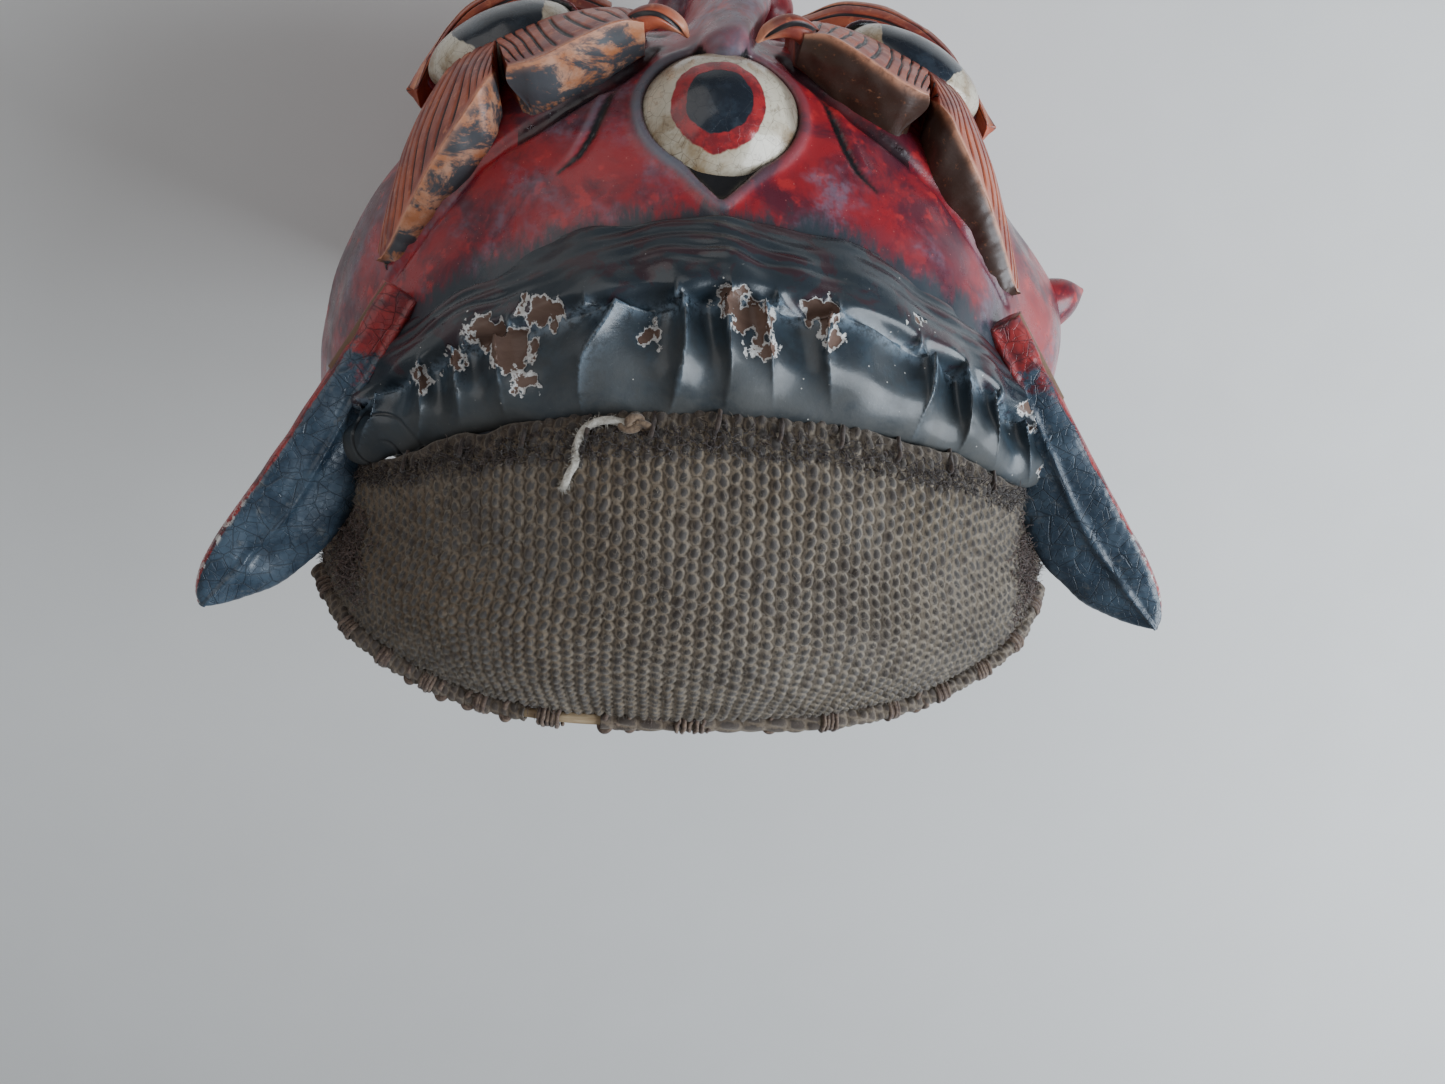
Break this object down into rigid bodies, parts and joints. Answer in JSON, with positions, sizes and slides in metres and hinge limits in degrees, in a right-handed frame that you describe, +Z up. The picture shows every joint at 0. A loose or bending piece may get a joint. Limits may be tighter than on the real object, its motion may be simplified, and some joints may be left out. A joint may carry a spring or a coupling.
{
  "type": "dance mask",
  "caption": "Carved and lacquered three-eyed guardian dance mask with flame brows, a black hair crest, swept pointed ears and a knitted wool hood with a cane hem.",
  "frame": {"origin": "under the middle of the mask's width and depth, on the surface that its bottom rim stands on", "axes": "+Z up to the crown, -Y the way the face looks, +X to the wearer's left"},
  "size_m": [0.3874, 0.3004, 0.335],
  "materials": {
    "red_lacquer": "worn, glossy red lacquer over carved wood, mottled dark",
    "orange_lacquer": "worn orange paint over carved wood",
    "black_lacquer": "glossy black lacquer over carved wood, chipped at the edges",
    "eye_paint": "aged ivory, red and dark blue paint under varnish",
    "tooth_paint": "aged ivory paint under varnish",
    "bare_wood": "bare, darkened wood",
    "hood_wool": "matted, dusty hand-knitted wool",
    "cane": "bare bent cane",
    "yarn": "frayed wool yarn",
    "felt": "pressed wool felt"
  },
  "bodies": {
    "root": {"brow_curl_left": "orange_lacquer", "brow_curl_right": "orange_lacquer", "brow_inner_left": "orange_lacquer", "brow_inner_right": "orange_lacquer", "brow_outer_left": "orange_lacquer", "brow_outer_right": "orange_lacquer", "cheek_flame_left": "orange_lacquer", "cheek_flame_right": "orange_lacquer", "crest": "black_lacquer", "crest_pegs": "bare_wood", "ear_left": "black_lacquer", "ear_pegs": "bare_wood", "ear_right": "black_lacquer", "eye_left": "eye_paint", "eye_right": "eye_paint", "face_shell": "red_lacquer", "forehead_pad": "felt", "hem_cane": "cane", "hem_lashings": "yarn", "hood": "hood_wool", "lower_teeth": "tooth_paint", "nose": "red_lacquer", "rim_lacing": "yarn", "third_eye": "eye_paint", "tie_end": "yarn", "tie_knot": "yarn", "upper_teeth": "tooth_paint"}
  },
  "joints": []
}
